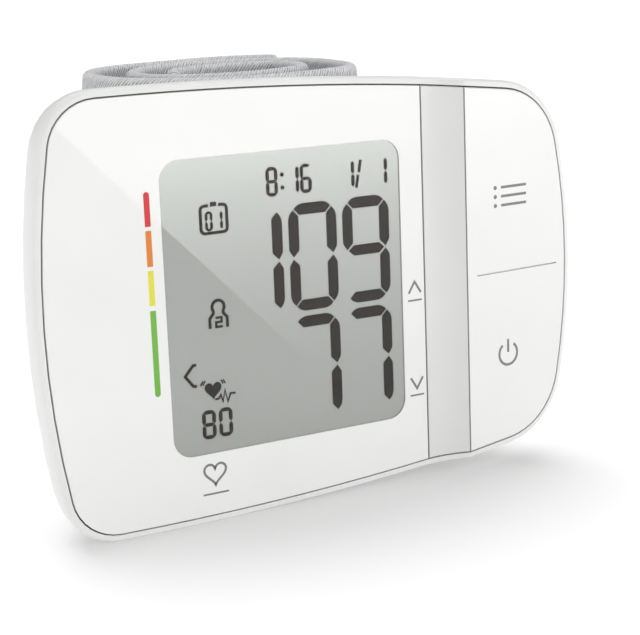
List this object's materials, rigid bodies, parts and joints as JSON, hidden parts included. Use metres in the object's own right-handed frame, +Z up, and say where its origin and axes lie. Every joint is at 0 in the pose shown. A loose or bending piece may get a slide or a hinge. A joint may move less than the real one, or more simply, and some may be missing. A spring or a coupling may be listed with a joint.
{
  "type": "wrist blood pressure monitor",
  "caption": "Wrist blood pressure monitor: flat display beside a concave groove and a rocking key plate, pump and cells in a tapered case, fabric cuff rolled up behind.",
  "frame": {"origin": "middle of the bounding box in X and Y, on the surface the monitor stands on", "axes": "+X to the reader's right, -Y towards the reader (the display faces -Y), +Z up"},
  "size_m": [0.0868, 0.067, 0.0619],
  "materials": {
    "shell_plastic": "fine satin moulding",
    "plate_plastic": "glossy",
    "display_glass": "grey reflective display",
    "inner_plastic": "plain",
    "dark_plastic": "plain",
    "board": "solder mask",
    "steel": "plated",
    "motor_can": "drawn can",
    "cell_jacket": "plain jacket",
    "silicone": "soft tube",
    "cuff_fabric": "heathered knit over padding",
    "hook_tape": "hook tape"
  },
  "bodies": {
    "case": {"front_housing": "shell_plastic", "rear_housing": "shell_plastic", "groove_trim": "shell_plastic", "display_plate": "plate_plastic", "lcd_glass": "display_glass", "lcd_frame": "inner_plastic", "contact_strip": "silicone", "main_board": "board", "controller_chip": "dark_plastic", "switch_upper": "dark_plastic", "switch_lower": "dark_plastic", "board_screw_left": "steel", "board_screw_right": "steel", "case_screw_upper": "steel", "case_screw_lower": "steel", "case_screw_right": "steel", "pump_motor": "motor_can", "pump_head": "dark_plastic", "release_valve": "dark_plastic", "pressure_sensor": "dark_plastic", "air_manifold": "inner_plastic", "tube_pump": "silicone", "tube_valve": "silicone", "tube_sensor": "silicone", "tube_cuff": "silicone", "air_nozzle": "inner_plastic", "cell_upper": "cell_jacket", "cell_lower": "cell_jacket", "spring_contact": "steel", "flat_contact": "steel", "cuff_plate": "shell_plastic", "cuff_screw_left": "steel", "cuff_screw_right": "steel", "cuff_band": "cuff_fabric", "hook_strip": "hook_tape"},
    "key": {"key_plate": "plate_plastic"},
    "upper_plunger": {"plunger_upper": "inner_plastic"},
    "lower_plunger": {"plunger_lower": "inner_plastic"},
    "door": {"battery_door": "shell_plastic", "battery_link": "steel"}
  },
  "joints": [
    {"name": "key_rock", "type": "hinge", "parent": "case", "child": "key", "pos_m": [0.03261, -0.03012, 0.03028], "axis": [1, 0, 0], "range_deg": [-1, 1], "stiffness_Nm_per_rad": 1.2},
    {"name": "upper_plunger_press", "type": "slide", "parent": "case", "child": "upper_plunger", "axis": [0, 1, 0], "range_m": [-0.00022, 0.00022]},
    {"name": "lower_plunger_press", "type": "slide", "parent": "case", "child": "lower_plunger", "axis": [0, 1, 0], "range_m": [-0.00022, 0.00022]},
    {"name": "door_draw", "type": "slide", "parent": "case", "child": "door", "axis": [1, 0, 0], "range_m": [0, 0.015]}
  ],
  "couplings": [
    {"joint": "upper_plunger_press", "follows": "key_rock", "m_per_rad": -0.012},
    {"joint": "lower_plunger_press", "follows": "key_rock", "m_per_rad": 0.012}
  ]
}
